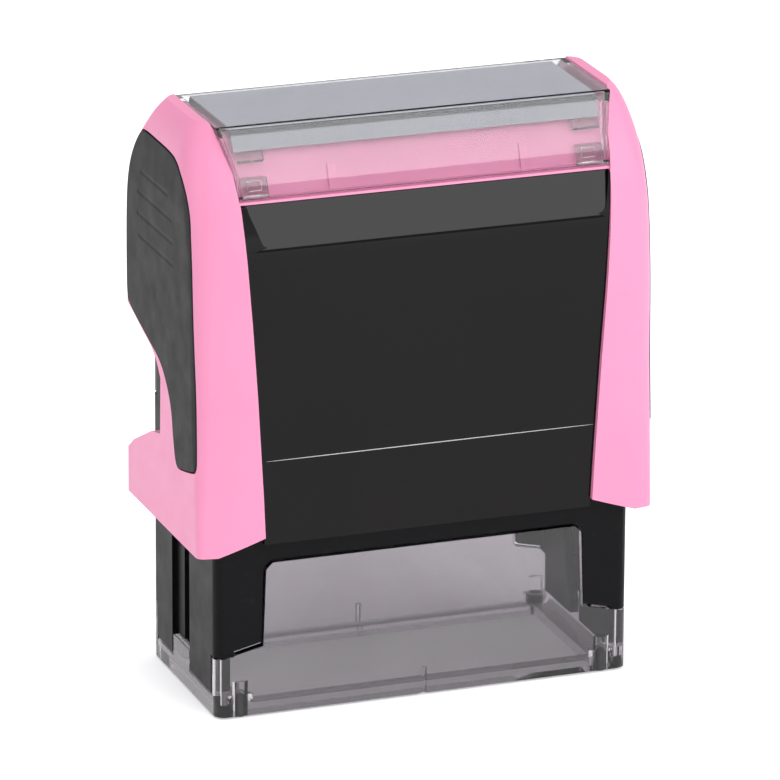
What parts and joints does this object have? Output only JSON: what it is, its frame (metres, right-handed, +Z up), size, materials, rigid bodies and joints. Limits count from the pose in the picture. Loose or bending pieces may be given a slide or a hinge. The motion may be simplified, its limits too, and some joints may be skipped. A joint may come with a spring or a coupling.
{
  "type": "self inking stamp",
  "caption": "Self inking hand stamp: a pink handle telescopes over a black base on a clear foot, and its die flips from the ink pad to the paper.",
  "frame": {"origin": "centre of the stamp's footprint on the table, under the resting rubber plugs", "axes": "+X to the right along the width, +Y to the back where the ink pad comes out, +Z up"},
  "size_m": [0.0642, 0.0306, 0.08],
  "materials": {
    "shell_pink": "satin pink moulded plastic",
    "panel_black": "high gloss black plastic",
    "grip_grey": "matt dark grey soft grip",
    "window_clear": "clear polished plastic",
    "card_paper": "smooth plain card",
    "lock_grey": "fine grained grey plastic",
    "spring_steel": "bare spring wire",
    "base_black": "fine grained black plastic",
    "foot_smoke": "smoke tinted clear plastic",
    "foot_rubber": "soft black rubber",
    "tray_black": "fine grained dark plastic",
    "felt_ink": "ink soaked felt",
    "pad_grip_grey": "soft grey grip",
    "carrier_grey": "matt dark plastic",
    "foam_white": "fine cell foam",
    "die_rubber": "engraved red rubber",
    "pin_steel": "ground steel"
  },
  "bodies": {
    "base": {"base_frame": "base_black", "clear_foot": "foot_smoke", "rubber_feet": "foot_rubber", "return_spring": "spring_steel"},
    "handle": {"handle_shell": "shell_pink", "front_panel": "panel_black", "rear_panel": "panel_black", "left_grip": "grip_grey", "right_grip": "grip_grey", "index_card": "card_paper"},
    "window": {"index_window": "window_clear"},
    "lock": {"lock_button": "lock_grey"},
    "pad": {"pad_tray": "tray_black", "pad_felt": "felt_ink", "left_pad_grip": "pad_grip_grey", "right_pad_grip": "pad_grip_grey"},
    "die": {"die_carrier": "carrier_grey", "die_foam": "foam_white", "rubber_die": "die_rubber", "axle_pins": "pin_steel"}
  },
  "joints": [
    {"name": "handle_press", "type": "slide", "parent": "base", "child": "handle", "axis": [0, 0, -1], "range_m": [0, 0.0215], "stiffness_N_per_m": 500, "springref_m": -0.01, "deforming": ["return_spring"]},
    {"name": "die_flip", "type": "hinge", "parent": "handle", "child": "die", "pos_m": [0, 0, 0.0295], "axis": [-1, 0, 0], "range_deg": [0, 180]},
    {"name": "pad_pull", "type": "slide", "parent": "base", "child": "pad", "axis": [0, 1, 0], "range_m": [0, 0.03]},
    {"name": "window_lift", "type": "slide", "parent": "handle", "child": "window", "axis": [0, 0, 1], "range_m": [0, 0.02]},
    {"name": "lock_push", "type": "slide", "parent": "handle", "child": "lock", "axis": [0, -1, 0], "range_m": [0, 0.0012]}
  ],
  "couplings": [
    {"joint": "die_flip", "follows": "handle_press", "rad_per_m": 146.1}
  ]
}
